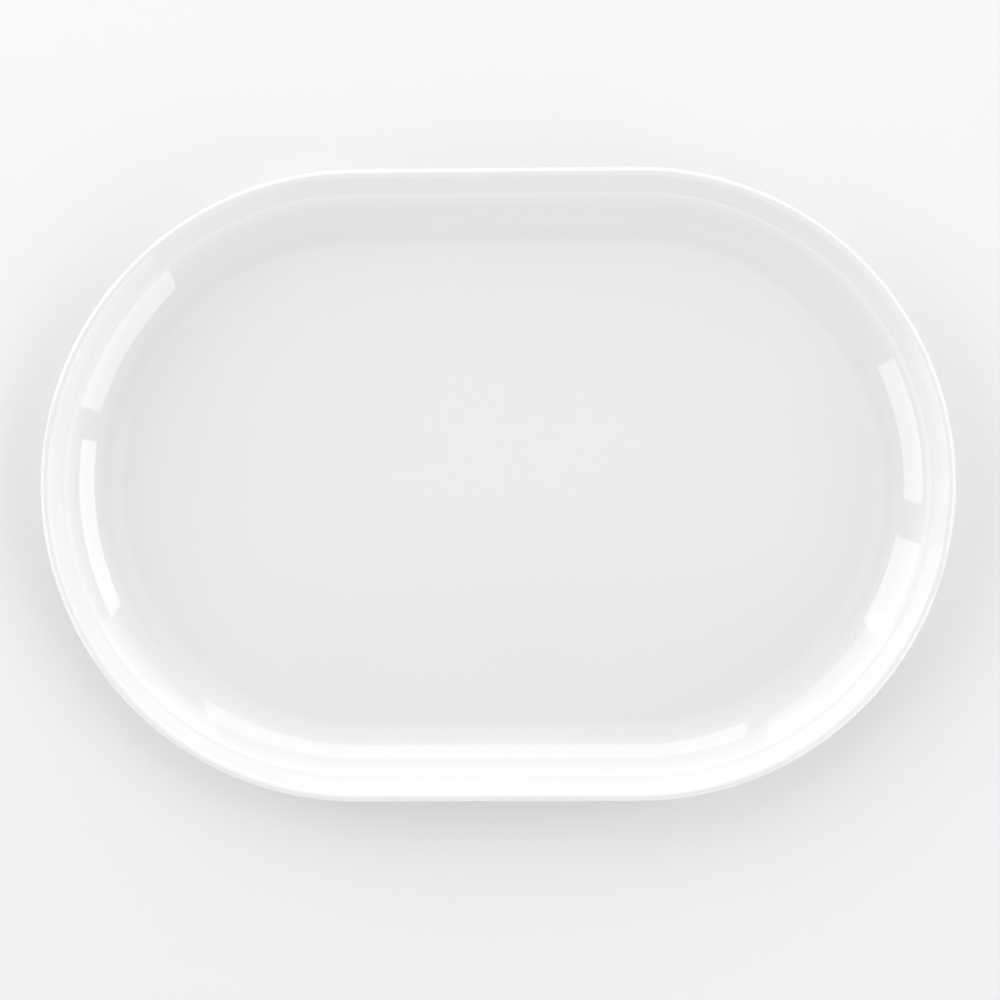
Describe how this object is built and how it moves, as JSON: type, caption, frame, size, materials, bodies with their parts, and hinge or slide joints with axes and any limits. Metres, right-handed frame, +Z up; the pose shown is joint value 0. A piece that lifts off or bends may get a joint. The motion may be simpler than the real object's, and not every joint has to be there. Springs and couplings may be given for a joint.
{
  "type": "oval serving platter",
  "caption": "Shallow oval serving platter in glossy white glazed porcelain, with a flat well, a leaning wall, a rounded lip and a bare foot ring underneath.",
  "frame": {"origin": "middle of the platter in plan, on the plane of the foot ring's face, which is the table", "axes": "+X along the length, +Y across the width, +Z up out of the well"},
  "size_m": [0.36, 0.249, 0.026],
  "materials": {
    "porcelain": "fine matte unglazed porcelain, bare only at the foot ring",
    "glaze": "glossy white glaze"
  },
  "bodies": {
    "root": {"body": "porcelain", "upper_glaze": "glaze", "underside_glaze": "glaze"}
  },
  "joints": []
}
